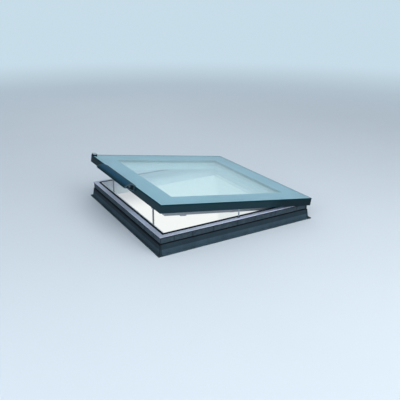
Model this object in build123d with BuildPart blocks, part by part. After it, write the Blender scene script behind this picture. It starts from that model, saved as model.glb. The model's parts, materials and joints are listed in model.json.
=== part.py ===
from build123d import *
from math import acos, atan2, cos, pi, radians, sin, tan
import os

# A square roof skylight: a low kerbed frame, and a glazed sash that opens on hinges along +X.
# Millimetres, +Z up, origin at the centre of the frame's underside.
# The sash is modelled at its open stop, as it rests.

os.makedirs("parts", exist_ok=True)

# Whole object
frame_size = 1000.0
frame_height = 100.0
opening_angle = 8.69

# Top trim of the frame, a bright angle section
trim_width = 31.5
trim_thickness = 3.0
trim_leg_depth = 6.0
trim_leg_thickness = 2.0
trim_edge_bevel = 0.7

# Seal and white ledge inside the trim
seal_width = 6.5
seal_depth = 6.0
seal_side_play = 0.2
seal_press_gap = 0.3
ledge_width = 9.0

# White hollow upstand
upstand_depth = 33.0
upstand_wall = 4.0
upstand_rib_height = 46.0

# Dark kerb with its fixing foot
band_height = 36.0
band_groove_depth = 3.0
band_groove_height = 4.0
shadow_groove_depth = 3.0
shadow_groove_height = 3.0
kerb_to_leg_gap = 0.5
kerb_foot_width = 34.0
kerb_foot_ledge = 13.0
kerb_foot_thickness = 5.0
kerb_slope_step = 3.0
fixing_hole_radius = 3.5
fixing_hole_inset = 6.0
fixing_hole_from_corner = 200.0

# Sash, with heights counted from the top of the trim while it is shut
sash_overhang = 12.7
sash_gap = 6.0
skirt_drop = 9.0
skirt_thickness = 3.0
skirt_return = 2.0
skirt_lip_width = 24.0
pane_thickness = 6.0
pane_top = 35.7
pane_bevel = 0.8
enamel_thickness = 0.5
enamel_width = 127.7
profile_gap = 4.0
profile_width = 51.0
profile_drop = 45.0
profile_wall = 4.0
profile_to_skirt_gap = 0.7
glazing_rebate = 37.0
rebate_play = 5.0
cavity_thickness = 16.0
inner_pane_thickness = 6.0
spacer_width = 12.0

# Hinges
hinge_inset = 22.0
hinge_rise = 8.0
hinge_from_corner = 170.0
hinge_width = 76.0
hinge_leaf_thickness = 2.0
hinge_leaf_reach = 8.0
sash_leaf_reach = 24.0
hinge_pin_radius = 2.5
hinge_barrel_radius = 4.5
hinge_barrel_length = 28.0
hinge_side_play = 0.6
hinge_ear_length = 12.0
hinge_head_radius = 3.8
hinge_head_length = 2.0
hinge_pocket_play = 1.0
hinge_leaf_gap = 1.5
running_clearance = 0.05

# Racks that lift the sash, and the gearboxes and shaft that drive them
rack_to_wall = 15.4
rack_from_corner = 160.3
rack_width = 8.0
rack_depth = 7.5
rack_play = 0.4
gear_module = 1.2
gear_dedendum = 1.25
pinion_teeth = 18
pressure_angle = 20.0
tooth_backlash = 0.16
pinion_play = 0.6
shaft_radius = 4.0
gearbox_wall = 4.0
gearbox_side_wall = 3.6
gearbox_cover_thickness = 4.0
gearbox_end_wall = 3.4
gearbox_to_eye_gap = 5.0
gearbox_corner = 5.0
rack_tail = 11.0
shaft_end = 2.0
shaft_drop = 5.0
motor_length = 240.0
motor_depth = 50.0
motor_height = 42.0
motor_corner = 8.0
motor_cap_thickness = 5.0
motor_bore_play = 0.3

# Slotted joints between the rods and the sash
link_pin_radius = 2.5
slot_play = 0.6
rack_eye_radius = 6.0
rack_pin_drop = 8.0
bracket_plate = 3.0
bracket_wall = 4.0
bracket_ear = 3.0
ear_play = 1.0
rack_bracket_width = 34.0
pin_head_play = 0.5
pin_head_radius = 3.6
pin_head_length = 1.0
press_clearance = 0.02

# Dampers in the near and far sides
damper_x = 8.0
damper_inset = 26.0
damper_rod_radius = 4.0
damper_cylinder_radius = 7.0
damper_bore_radius = 5.5
damper_floor = 4.0
damper_piston_height = 8.0
damper_piston_play = 0.1
damper_end_gap = 1.0
damper_hole_play = 0.2
gland_radius = 8.0
gland_flange_radius = 9.5
gland_flange_height = 4.0
gland_bevel = 1.0
seal_notch_play = 0.3
damper_pin_height = 13.0
damper_eye_radius = 5.0
damper_plate = 2.5
damper_ear_wall = 2.9
damper_pocket_play = 2.5

# Solar module on the opening side
solar_length = 438.0
solar_offset = 30.0
solar_ridge_height = 4.8
solar_reach = 60.3
solar_edge_drop = 14.5
solar_edge_depth = 2.0
solar_low_edge_back = 1.5
solar_heel_back = 13.0
solar_foot_rise = 13.0
solar_crown = 12.0
solar_panel_thickness = 2.5
solar_ridge_rim = 8.0
solar_edge_rim = 6.0
solar_cap_thickness = 13.0
solar_cap_recess = 7.0
solar_cap_rim = 4.0
solar_plug_radius = 4.5
solar_plug_height = 5.5

# Rain sensor on the corner of the glass
sensor_length = 36.0
sensor_width = 29.0
sensor_height = 10.5
sensor_corner = 6.0
sensor_overhang = 1.0
sensor_end_inset = 1.7
sensor_plate_thickness = 4.5
sensor_plate_margin = 2.0

# Sizes that follow from the ones above
trim_outer = frame_size / 2
trim_inner = trim_outer - trim_width
seal_inner = trim_inner - seal_width
opening_half = seal_inner - ledge_width
upstand_outer = opening_half + upstand_depth
kerb_face = trim_outer - trim_leg_thickness - kerb_to_leg_gap
kerb_foot_outer = upstand_outer + kerb_foot_width
trim_underside = frame_height - trim_thickness
seal_floor = frame_height - seal_depth
sash_half = trim_outer + sash_overhang
pane_underside = pane_top - pane_thickness
glazing_top = pane_underside - enamel_thickness
skirt_inner = sash_half - skirt_thickness
lip_underside = glazing_top - skirt_thickness
profile_outer = opening_half - profile_gap
profile_inner = profile_outer - profile_width
inner_pane_top = glazing_top - cavity_thickness
rebate_floor = inner_pane_top - inner_pane_thickness
rebate_edge = profile_inner + glazing_rebate
inner_pane_half = rebate_edge - rebate_play
flange_outer = skirt_inner - profile_to_skirt_gap
flange_chamber_inner = profile_outer + profile_wall
flange_chamber_floor = sash_gap + profile_wall
flange_chamber_top = lip_underside - profile_wall
hinge_x = trim_outer - hinge_inset
hinge_height = frame_height + hinge_rise
hinge_offset = trim_outer - hinge_from_corner
rack_offset = opening_half - rack_from_corner
opening = radians(opening_angle)

SIDES = {"right": 0, "far": 90, "left": 180, "near": 270}
ENDS = {"near": -1, "far": 1}


def turned(out, up):
    """Where a point of the shut sash, given from the hinge axis, lies when the sash is open."""
    return out * cos(opening) + up * sin(opening), up * cos(opening) - out * sin(opening)


shut_plane = Plane.XY.offset(frame_height)
centre_out, centre_up = turned(-hinge_x, -hinge_rise)
sash_plane = Plane(
    origin=(hinge_x + centre_out, 0, hinge_height + centre_up),
    x_dir=(cos(opening), 0, -sin(opening)),
    z_dir=(sin(opening), 0, cos(opening)),
)


def outward(base, side, turn=0):
    """Direction out of the opening through one side, turned about the base's own upright."""
    return base.x_dir.rotate(Axis(base.origin, base.z_dir), SIDES[side] + turn)


def section_plane(base, side):
    """Cross-section of one side: X runs outwards, Y up and the normal along the side."""
    out = outward(base, side)
    return Plane(origin=base.origin, x_dir=out, z_dir=out.cross(base.z_dir))


def upright_plane(base, x, y, z=0.0):
    """Plane that stands along the base's X, at a point of the base, and faces the near side."""
    return Plane(origin=base.from_local_coords((x, y, z)), x_dir=base.x_dir, z_dir=-base.y_dir)


def mitred_rail(base, side, outline, chambers=()):
    """One straight side of a square frame, cut to 45 degrees at both ends."""
    reach = 1.1 * max(point[0] for point in outline)
    with BuildPart() as rail:
        with BuildSketch(section_plane(base, side)):
            with BuildLine():
                Polyline(*outline, close=True)
            make_face()
            for inner, low, outer, high in chambers:
                with Locations(((inner + outer) / 2, (low + high) / 2)):
                    Rectangle(outer - inner, high - low, mode=Mode.SUBTRACT)
        extrude(amount=reach, both=True)
        for turn in (-45, 45):
            mitre = Plane(origin=base.origin, z_dir=outward(base, side, turn))
            split(bisect_by=mitre, keep=Keep.TOP)
    return rail.part


def finish(piece, name):
    """Labels a finished piece and writes it."""
    piece.part.label = name
    export_step(piece.part, f"parts/{name}.step")


# Rods that rise straight up meet the sash in slots, because the sash swings on an arc.


def rod_travel(distance, pin_height):
    """Rise of a pin that stands this far from the hinge axis and this high above it when shut."""
    return (pin_height + distance * sin(opening)) / cos(opening) - pin_height


def slot_span(distance, pin_height):
    """Middle of the slot, counted from the hinge axis, and how far the pin runs each way in it."""
    places = []
    for share in (0.0, 0.25, 0.5, 0.75, 1.0):
        angle = opening * share
        height = pin_height + rod_travel(distance, pin_height) * share
        places.append(distance * cos(angle) + height * sin(angle))
    return (max(places) + min(places)) / 2, (max(places) - min(places)) / 2


rack_x = rack_to_wall - opening_half
rack_distance = hinge_x - rack_x
rack_pin_local = -profile_drop - bracket_plate - rack_pin_drop
rack_pin_height = rack_pin_local - hinge_rise
rack_travel = rod_travel(rack_distance, rack_pin_height)
rack_slot_middle, rack_slot_half = slot_span(rack_distance, rack_pin_height)

damper_distance = hinge_x - damper_x
damper_pin_rise = damper_pin_height - hinge_rise
damper_travel = rod_travel(damper_distance, damper_pin_rise)
damper_slot_middle, damper_slot_half = slot_span(damper_distance, damper_pin_rise)
damper_line = trim_outer - damper_inset

# Kerb: insulated boards in dark felt, with a band under the trim, a groove and a sloping foot

band_floor = frame_height - band_height
band_top = frame_height - trim_leg_depth - shadow_groove_height
slope_foot = kerb_foot_outer - kerb_foot_ledge
kerb_outline = [
    (upstand_outer, 0),
    (kerb_foot_outer, 0),
    (kerb_foot_outer, kerb_foot_thickness),
    (slope_foot, kerb_foot_thickness),
    (kerb_face + kerb_slope_step, band_floor - band_groove_height),
    (kerb_face - band_groove_depth, band_floor - band_groove_height),
    (kerb_face - band_groove_depth, band_floor),
    (kerb_face, band_floor),
    (kerb_face, band_top),
    (kerb_face - shadow_groove_depth, band_top),
    (kerb_face - shadow_groove_depth, trim_underside),
    (upstand_outer, trim_underside),
]
fixing_line = kerb_foot_outer - fixing_hole_inset
fixing_hole_pitch = 2 * (trim_outer - fixing_hole_from_corner)

for side in SIDES:
    rail = mitred_rail(Plane.XY, side, kerb_outline)
    foot_plane = Plane(origin=(0, 0, 0), x_dir=outward(Plane.XY, side), z_dir=(0, 0, 1))
    with BuildPart() as kerb:
        add(rail)
        with BuildSketch(foot_plane):
            with Locations((fixing_line, 0)):
                with GridLocations(0, fixing_hole_pitch, 1, 2):
                    Circle(fixing_hole_radius)
        extrude(amount=kerb_foot_thickness, mode=Mode.SUBTRACT)
    finish(kerb, f"kerb_{side}")

# Upstand: a white hollow section that lines the opening and carries the seal

upstand_outline = [
    (opening_half, 0),
    (upstand_outer, 0),
    (upstand_outer, trim_underside),
    (trim_inner, trim_underside),
    (trim_inner, seal_floor),
    (seal_inner, seal_floor),
    (seal_inner, frame_height),
    (opening_half, frame_height),
]
chamber_inner = opening_half + upstand_wall
chamber_outer = upstand_outer - upstand_wall
upstand_chambers = [
    (chamber_inner, upstand_wall, chamber_outer, upstand_rib_height - upstand_wall / 2),
    (chamber_inner, upstand_rib_height + upstand_wall / 2, chamber_outer, seal_floor - upstand_wall),
]

for side in SIDES:
    rail = mitred_rail(Plane.XY, side, upstand_outline, upstand_chambers)
    with BuildPart() as upstand:
        add(rail)
        if side in ENDS:
            with BuildSketch(Plane.XY.offset(upstand_wall)):
                with Locations((damper_x, ENDS[side] * damper_line)):
                    Circle(damper_cylinder_radius + damper_hole_play)
            extrude(amount=frame_height, mode=Mode.SUBTRACT)
            with BuildSketch(Plane.XY.offset(seal_floor)):
                with Locations((damper_x, ENDS[side] * damper_line)):
                    Circle(gland_radius + damper_hole_play)
            extrude(amount=frame_height, mode=Mode.SUBTRACT)
    finish(upstand, f"upstand_{side}")

# Top trim: bright angle section with a bevelled outer edge

trim_outline = [
    (trim_inner, trim_underside),
    (trim_inner, frame_height),
    (trim_outer - trim_edge_bevel, frame_height),
    (trim_outer, frame_height - trim_edge_bevel),
    (trim_outer, frame_height - trim_leg_depth),
    (trim_outer - trim_leg_thickness, frame_height - trim_leg_depth),
    (trim_outer - trim_leg_thickness, trim_underside),
]

for side in SIDES:
    rail = mitred_rail(Plane.XY, side, trim_outline)
    with BuildPart() as trim:
        add(rail)
        if side in ENDS:
            with BuildSketch(Plane.XY.offset(trim_underside)):
                with Locations((damper_x, ENDS[side] * damper_line)):
                    Circle(gland_radius + damper_hole_play)
            extrude(amount=trim_thickness, mode=Mode.SUBTRACT)
    finish(trim, f"top_trim_{side}")

# Frame seal: one closed ring with a round bulb that the shut sash presses on

seal_foot_inner = seal_inner + seal_side_play
seal_foot_outer = trim_inner - seal_side_play
seal_middle = (seal_foot_inner + seal_foot_outer) / 2
bulb_radius = (seal_foot_outer - seal_foot_inner) / 2
bulb_centre = frame_height + sash_gap - seal_press_gap - bulb_radius
seal_sides = []
for side in SIDES:
    with BuildPart() as strip:
        with BuildSketch(section_plane(Plane.XY, side)):
            with BuildLine():
                Polyline(
                    (seal_foot_inner, bulb_centre),
                    (seal_foot_inner, seal_floor),
                    (seal_foot_outer, seal_floor),
                    (seal_foot_outer, bulb_centre),
                )
                ThreePointArc(
                    (seal_foot_outer, bulb_centre),
                    (seal_middle, bulb_centre + bulb_radius),
                    (seal_foot_inner, bulb_centre),
                )
            make_face()
        extrude(amount=trim_outer, both=True)
        for turn in (-45, 45):
            split(bisect_by=Plane(origin=(0, 0, 0), z_dir=outward(Plane.XY, side, turn)), keep=Keep.TOP)
    seal_sides.append(strip.part)

with BuildPart() as frame_seal:
    add(seal_sides)
    with BuildSketch(Plane.XY.offset(seal_floor)):
        with Locations(*[(damper_x, way * damper_line) for way in ENDS.values()]):
            Circle(gland_flange_radius + seal_notch_play)
    extrude(amount=frame_height, mode=Mode.SUBTRACT)
finish(frame_seal, "frame_seal")

# Sash profile: white hollow section with a flange over the frame and a rebate for the glass

profile_outline = [
    (profile_inner, -profile_drop),
    (profile_outer, -profile_drop),
    (profile_outer, sash_gap),
    (flange_outer, sash_gap),
    (flange_outer, lip_underside),
    (rebate_edge, lip_underside),
    (rebate_edge, rebate_floor),
    (profile_inner, rebate_floor),
]
plug_chamber = (
    profile_inner + profile_wall,
    profile_wall - profile_drop,
    profile_outer - profile_wall,
    rebate_floor - profile_wall,
)
flange_chamber = (
    flange_chamber_inner,
    flange_chamber_floor,
    flange_outer - profile_wall,
    flange_chamber_top,
)
barrel_half = hinge_barrel_length / 2
ear_start = barrel_half + hinge_side_play
ear_end = ear_start + hinge_ear_length
hinge_pocket_half = hinge_width / 2 + hinge_pocket_play
hinge_pocket_inner = hinge_x - hinge_barrel_radius - hinge_pocket_play
hinge_pocket_outer = hinge_x + 2 * hinge_barrel_radius + 3 * hinge_pocket_play
damper_slot_x = hinge_x - damper_slot_middle
damper_bracket_half = damper_slot_half + link_pin_radius + slot_play + bracket_wall
damper_ear_inner = damper_rod_radius + ear_play
damper_ear_outer = damper_ear_inner + bracket_ear

for side in SIDES:
    rail = mitred_rail(sash_plane, side, profile_outline, [plug_chamber, flange_chamber])
    with BuildPart() as profile:
        add(rail)
        if side == "right":
            with BuildSketch(sash_plane.offset(sash_gap)):
                with Locations(((hinge_pocket_inner + hinge_pocket_outer) / 2, 0)):
                    with GridLocations(0, 2 * hinge_offset, 1, 2):
                        Rectangle(hinge_pocket_outer - hinge_pocket_inner, 2 * hinge_pocket_half)
            extrude(amount=profile_wall, mode=Mode.SUBTRACT)
        if side in ENDS:
            with BuildSketch(sash_plane.offset(sash_gap)):
                with Locations((damper_slot_x, ENDS[side] * damper_line)):
                    Rectangle(
                        2 * (damper_bracket_half + damper_pocket_play),
                        2 * (damper_ear_outer + damper_pocket_play),
                    )
            extrude(amount=profile_wall, mode=Mode.SUBTRACT)
    finish(profile, f"sash_profile_{side}")

# Skirt: dark folded cladding with a lip under the glass and a return along its lower edge

skirt_outline = [
    (sash_half, -skirt_drop),
    (sash_half, pane_underside),
    (skirt_inner, pane_underside),
    (skirt_inner, glazing_top),
    (skirt_inner - skirt_lip_width, glazing_top),
    (skirt_inner - skirt_lip_width, lip_underside),
    (skirt_inner, lip_underside),
    (skirt_inner, skirt_return - skirt_drop),
    (skirt_inner - skirt_return, skirt_return - skirt_drop),
    (skirt_inner - skirt_return, -skirt_drop),
]

for side in SIDES:
    rail = mitred_rail(sash_plane, side, skirt_outline)
    with BuildPart() as skirt:
        add(rail)
    finish(skirt, f"skirt_{side}")

# Glazing: a stepped double unit, the outer pane out to the edge of the sash

with BuildPart() as outer_pane:
    with BuildSketch(sash_plane.offset(pane_underside)):
        Rectangle(2 * sash_half, 2 * sash_half)
    extrude(amount=pane_thickness)
    top_face = outer_pane.faces().sort_by(Axis(sash_plane.origin, sash_plane.z_dir))[-1]
    chamfer(top_face.edges(), pane_bevel)
finish(outer_pane, "outer_pane")

with BuildPart() as enamel_border:
    with BuildSketch(sash_plane.offset(glazing_top)):
        Rectangle(2 * skirt_inner, 2 * skirt_inner)
        clear_side = 2 * (sash_half - enamel_width)
        Rectangle(clear_side, clear_side, mode=Mode.SUBTRACT)
    extrude(amount=enamel_thickness)
finish(enamel_border, "enamel_border")

with BuildPart() as spacer_bar:
    with BuildSketch(sash_plane.offset(inner_pane_top)):
        Rectangle(2 * inner_pane_half, 2 * inner_pane_half)
        spacer_inside = 2 * (inner_pane_half - spacer_width)
        Rectangle(spacer_inside, spacer_inside, mode=Mode.SUBTRACT)
    extrude(amount=cavity_thickness)
finish(spacer_bar, "spacer_bar")

with BuildPart() as inner_pane:
    with BuildSketch(sash_plane.offset(rebate_floor)):
        Rectangle(2 * inner_pane_half, 2 * inner_pane_half)
    extrude(amount=inner_pane_thickness)
finish(inner_pane, "inner_pane")

# Hinges: a barrel on the frame between two ears on the sash, on one pin

for end, way in ENDS.items():
    hinge_y = way * hinge_offset
    with BuildPart() as frame_leaf:
        with BuildSketch(upright_plane(shut_plane, hinge_x, hinge_y)):
            with Locations((0, hinge_rise)):
                Circle(hinge_barrel_radius)
            with Locations((0, hinge_rise / 2)):
                Rectangle(2 * hinge_barrel_radius, hinge_rise)
            with Locations((0, hinge_rise)):
                Circle(hinge_pin_radius + running_clearance, mode=Mode.SUBTRACT)
        extrude(amount=barrel_half, both=True)
        with BuildSketch(shut_plane):
            with Locations((hinge_x, hinge_y)):
                Rectangle(2 * hinge_leaf_reach, hinge_width)
        extrude(amount=hinge_leaf_thickness)
    finish(frame_leaf, f"hinge_frame_leaf_{end}")

    with BuildPart() as sash_leaf:
        with BuildSketch(upright_plane(sash_plane, hinge_x, hinge_y)):
            with Locations((0, hinge_rise)):
                Circle(hinge_barrel_radius)
            with Locations((hinge_barrel_radius, (hinge_rise + sash_gap - hinge_leaf_thickness) / 2)):
                Rectangle(
                    2 * hinge_barrel_radius,
                    hinge_rise - sash_gap + hinge_leaf_thickness,
                )
            with Locations((0, hinge_rise)):
                Circle(hinge_pin_radius + running_clearance, mode=Mode.SUBTRACT)
        extrude(amount=ear_end, both=True)
        with BuildSketch(upright_plane(sash_plane, hinge_x, hinge_y)):
            with Locations((hinge_barrel_radius / 2, hinge_rise)):
                Rectangle(
                    4 * hinge_barrel_radius,
                    4 * hinge_barrel_radius,
                )
        extrude(amount=ear_start, both=True, mode=Mode.SUBTRACT)
        with BuildSketch(sash_plane.offset(sash_gap - hinge_leaf_thickness)):
            leaf_inner = hinge_x + hinge_barrel_radius + hinge_leaf_gap
            leaf_outer = hinge_x + sash_leaf_reach
            with Locations(((leaf_inner + leaf_outer) / 2, hinge_y)):
                Rectangle(leaf_outer - leaf_inner, hinge_width)
        extrude(amount=hinge_leaf_thickness)
    finish(sash_leaf, f"hinge_sash_leaf_{end}")

with BuildPart() as hinge_pins:
    for way in ENDS.values():
        pin_end = Plane(
            origin=(hinge_x, way * (hinge_offset - ear_end), hinge_height), z_dir=(0, way, 0)
        )
        with BuildSketch(pin_end):
            Circle(hinge_pin_radius)
        extrude(amount=2 * ear_end + running_clearance)
        with BuildSketch(pin_end.offset(2 * ear_end + running_clearance)):
            Circle(hinge_head_radius)
        extrude(amount=hinge_head_length)
finish(hinge_pins, "hinge_pins")

# Gear geometry shared by the pinions and the racks

pitch_radius = gear_module * pinion_teeth / 2
base_radius = pitch_radius * cos(radians(pressure_angle))
tip_radius = pitch_radius + gear_module
root_radius = pitch_radius - gear_dedendum * gear_module
tooth_pitch = pi * gear_module
gearbox_half_height = tip_radius + pinion_play + gearbox_end_wall
shut_eye_bottom = hinge_height + rack_pin_height - rack_eye_radius
pinion_height = shut_eye_bottom - gearbox_to_eye_gap - gearbox_half_height
pinion_x = rack_x + rack_depth / 2 - gear_module + pitch_radius
gear_half_width = rack_width / 2
cavity_half = gear_half_width + rack_play


def half_angle(radius):
    """Half of one pinion tooth's width, as an angle, at a radius: an involute flank."""
    at_pitch = pi / (2 * pinion_teeth) - tooth_backlash / (4 * pitch_radius)
    swing = acos(base_radius / max(radius, base_radius))
    design = radians(pressure_angle)
    return at_pitch + (tan(design) - design) - (tan(swing) - swing)


def flank_point(radius, way):
    angle = way * half_angle(radius)
    return radius * cos(angle), radius * sin(angle)


flank_start = max(base_radius, root_radius)
flank_middle = (flank_start + tip_radius) / 2
tooth_foot_share = 0.85
with BuildSketch() as pinion_tooth:
    with BuildLine():
        foot = [Vector(*flank_point(flank_start, way)) * tooth_foot_share for way in (-1, 1)]
        Line(foot[0], flank_point(flank_start, -1))
        ThreePointArc(*[flank_point(radius, -1) for radius in (flank_start, flank_middle, tip_radius)])
        Line(flank_point(tip_radius, -1), flank_point(tip_radius, 1))
        ThreePointArc(*[flank_point(radius, 1) for radius in (tip_radius, flank_middle, flank_start)])
        Line(flank_point(flank_start, 1), foot[1])
        Line(foot[1], foot[0])
    make_face()

for end, way in ENDS.items():
    with BuildPart() as pinion:
        with BuildSketch(upright_plane(Plane.XY, pinion_x, way * rack_offset, pinion_height)):
            Circle(root_radius)
            with PolarLocations(0, pinion_teeth):
                add(pinion_tooth.sketch)
            Circle(shaft_radius + press_clearance, mode=Mode.SUBTRACT)
        extrude(amount=gear_half_width, both=True)
    finish(pinion, f"pinion_{end}")

# Racks: square bars with straight-flanked teeth towards the room and an eye at the top

tooth_half = (tooth_pitch - tooth_backlash) / 4
flank_slope = tan(radians(pressure_angle))
tip_half = tooth_half - gear_module * flank_slope
root_half = tooth_half + gear_dedendum * gear_module * flank_slope
tooth_tip = rack_depth / 2
tooth_root = tooth_tip - (1 + gear_dedendum) * gear_module
rack_bottom = pinion_height - rack_tail
first_tooth = pinion_height - 1.5 * tooth_pitch
rack_teeth = int(rack_travel / tooth_pitch) + 5
rack_pin_z = hinge_height + rack_pin_height + rack_travel
teeth_points = []
for number in range(rack_teeth):
    middle = first_tooth + number * tooth_pitch
    teeth_points += [
        (tooth_root, middle - root_half),
        (tooth_tip, middle - tip_half),
        (tooth_tip, middle + tip_half),
        (tooth_root, middle + root_half),
    ]
plain_start = first_tooth + rack_teeth * tooth_pitch - root_half
rack_outline = [
    (-tooth_tip, rack_bottom),
    (tooth_root, rack_bottom),
    *teeth_points,
    (tooth_root, plain_start),
    (tooth_tip, plain_start + tooth_tip - tooth_root),
    (tooth_tip, rack_pin_z),
    (-tooth_tip, rack_pin_z),
]
rack_ear_inner = rack_width / 2 + ear_play
rack_ear_outer = rack_ear_inner + bracket_ear

for end, way in ENDS.items():
    rack_plane = upright_plane(Plane.XY, rack_x, way * rack_offset)
    with BuildPart() as rack:
        with BuildSketch(rack_plane):
            with BuildLine():
                Polyline(*rack_outline, close=True)
            make_face()
            with Locations((0, rack_pin_z)):
                Circle(rack_eye_radius)
                Circle(link_pin_radius + press_clearance, mode=Mode.SUBTRACT)
        extrude(amount=rack_width / 2, both=True)
    finish(rack, f"rack_{end}")

    with BuildPart() as rack_pin:
        with BuildSketch(upright_plane(Plane.XY, rack_x, way * rack_offset, rack_pin_z)):
            Circle(link_pin_radius)
        extrude(amount=rack_ear_outer + pin_head_play, both=True)
        for face in rack_pin.faces().filter_by(Axis.Y):
            with BuildSketch(Plane(face)):
                Circle(pin_head_radius)
            extrude(amount=pin_head_length)
    finish(rack_pin, f"rack_pin_{end}")

# Slotted brackets under the sash, one for each rack

rack_slot_x = hinge_x - rack_slot_middle
rack_ear_half = rack_slot_half + link_pin_radius + slot_play + bracket_wall
rack_ear_bottom = rack_pin_local - link_pin_radius - slot_play - bracket_wall
bracket_room_end = -(profile_inner + profile_wall)

for end, way in ENDS.items():
    with BuildPart() as rack_bracket:
        with BuildSketch(sash_plane.offset(-profile_drop - bracket_plate)):
            plate_start = rack_slot_x - rack_ear_half
            with Locations(((plate_start + bracket_room_end) / 2, way * rack_offset)):
                Rectangle(bracket_room_end - plate_start, rack_bracket_width)
        extrude(amount=bracket_plate)
        with BuildSketch(upright_plane(sash_plane, rack_slot_x, way * rack_offset)):
            with Locations((0, (rack_ear_bottom - profile_drop - bracket_plate) / 2)):
                Rectangle(2 * rack_ear_half, -profile_drop - bracket_plate - rack_ear_bottom)
        extrude(amount=rack_ear_outer, both=True)
        with BuildSketch(upright_plane(sash_plane, rack_slot_x, way * rack_offset)):
            with Locations((0, (rack_ear_bottom - profile_drop - bracket_plate) / 2)):
                Rectangle(3 * rack_ear_half, -profile_drop - bracket_plate - rack_ear_bottom)
        extrude(amount=rack_ear_inner, both=True, mode=Mode.SUBTRACT)
        with BuildSketch(upright_plane(sash_plane, rack_slot_x, way * rack_offset)):
            with Locations((0, rack_pin_local)):
                SlotCenterToCenter(2 * rack_slot_half, 2 * (link_pin_radius + slot_play))
        extrude(amount=rack_ear_outer, both=True, mode=Mode.SUBTRACT)
    finish(rack_bracket, f"rack_bracket_{end}")

# Gearboxes: a block on the upstand that holds one pinion and guides its rack, and a cover

gearbox_room_face = pinion_x + tip_radius + pinion_play + gearbox_wall
gearbox_depth = gearbox_room_face + opening_half
rack_slot_width = rack_depth + 2 * rack_play

for end, way in ENDS.items():
    inner_face = upright_plane(Plane.XY, 0, way * (rack_offset - cavity_half))
    with BuildPart() as gearbox:
        with BuildSketch(inner_face):
            with Locations((gearbox_room_face - gearbox_depth / 2, pinion_height)):
                Rectangle(gearbox_depth, 2 * gearbox_half_height)
        extrude(amount=-way * (2 * cavity_half + gearbox_side_wall))
        fillet(gearbox.edges().filter_by(Axis.Y).group_by(Axis.X)[-1], gearbox_corner)
        with BuildSketch(inner_face):
            with Locations((pinion_x, pinion_height)):
                Circle(tip_radius + pinion_play)
            with Locations((rack_x, pinion_height)):
                Rectangle(rack_slot_width, 3 * gearbox_half_height)
        extrude(amount=-way * 2 * cavity_half, mode=Mode.SUBTRACT)
        with BuildSketch(inner_face):
            with Locations((pinion_x, pinion_height)):
                Circle(shaft_radius + running_clearance)
        extrude(amount=-way * (2 * cavity_half + gearbox_side_wall), mode=Mode.SUBTRACT)
    finish(gearbox, f"gearbox_{end}")

with BuildPart() as gearbox_covers:
    for way in ENDS.values():
        inner_face = upright_plane(Plane.XY, 0, way * (rack_offset - cavity_half))
        with BuildSketch(inner_face):
            with Locations((gearbox_room_face - gearbox_depth / 2, pinion_height)):
                Rectangle(gearbox_depth, 2 * gearbox_half_height)
            with Locations((pinion_x, pinion_height)):
                Circle(shaft_radius + running_clearance, mode=Mode.SUBTRACT)
        extrude(amount=way * gearbox_cover_thickness)
    fillet(gearbox_covers.edges().filter_by(Axis.Y).group_by(Axis.X)[-1], gearbox_corner)
finish(gearbox_covers, "gearbox_covers")

# Motor in the middle of the opening side, and the shaft that runs through it to both pinions

motor_middle_x = -opening_half + motor_depth / 2
motor_middle_z = pinion_height + shaft_drop
motor_plane = upright_plane(Plane.XY, 0, 0)

with BuildPart() as motor_housing:
    with BuildSketch(motor_plane):
        with Locations((motor_middle_x, motor_middle_z)):
            RectangleRounded(motor_depth, motor_height, motor_corner)
        with Locations((pinion_x, pinion_height)):
            Circle(shaft_radius + motor_bore_play, mode=Mode.SUBTRACT)
    extrude(amount=motor_length / 2, both=True)
finish(motor_housing, "motor_housing")

with BuildPart() as motor_caps:
    for way in ENDS.values():
        with BuildSketch(upright_plane(Plane.XY, 0, way * motor_length / 2)):
            with Locations((motor_middle_x, motor_middle_z)):
                RectangleRounded(motor_depth, motor_height, motor_corner)
            with Locations((pinion_x, pinion_height)):
                Circle(shaft_radius + motor_bore_play, mode=Mode.SUBTRACT)
        extrude(amount=-way * motor_cap_thickness)
finish(motor_caps, "motor_caps")

with BuildPart() as drive_shaft:
    with BuildSketch(upright_plane(Plane.XY, pinion_x, 0, pinion_height)):
        Circle(shaft_radius)
    extrude(amount=rack_offset + cavity_half + gearbox_side_wall + shaft_end, both=True)
finish(drive_shaft, "drive_shaft")

# Dampers: a cylinder in each of the near and far sides, with a dark gland where the rod comes out

cylinder_top = seal_floor
piston_top = cylinder_top - damper_end_gap
piston_bottom = piston_top - damper_piston_height
damper_pin_z = hinge_height + damper_pin_rise + damper_travel

with BuildPart() as damper_cylinders:
    with BuildSketch(Plane.XY.offset(upstand_wall)):
        with Locations(*[(damper_x, way * damper_line) for way in ENDS.values()]):
            Circle(damper_cylinder_radius)
    extrude(amount=cylinder_top - upstand_wall)
    with BuildSketch(Plane.XY.offset(upstand_wall + damper_floor)):
        with Locations(*[(damper_x, way * damper_line) for way in ENDS.values()]):
            Circle(damper_bore_radius)
    extrude(amount=cylinder_top, mode=Mode.SUBTRACT)
finish(damper_cylinders, "damper_cylinders")

with BuildPart() as damper_glands:
    with BuildSketch(Plane.XY.offset(seal_floor)):
        with Locations(*[(damper_x, way * damper_line) for way in ENDS.values()]):
            Circle(gland_radius)
    extrude(amount=seal_depth)
    with BuildSketch(Plane.XY.offset(frame_height)):
        with Locations(*[(damper_x, way * damper_line) for way in ENDS.values()]):
            Circle(gland_flange_radius)
    extrude(amount=gland_flange_height)
    chamfer(damper_glands.faces().group_by(Axis.Z)[-1].edges(), gland_bevel)
    with BuildSketch(Plane.XY.offset(seal_floor)):
        with Locations(*[(damper_x, way * damper_line) for way in ENDS.values()]):
            Circle(damper_rod_radius + running_clearance)
    extrude(amount=frame_height, mode=Mode.SUBTRACT)
finish(damper_glands, "damper_glands")

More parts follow.
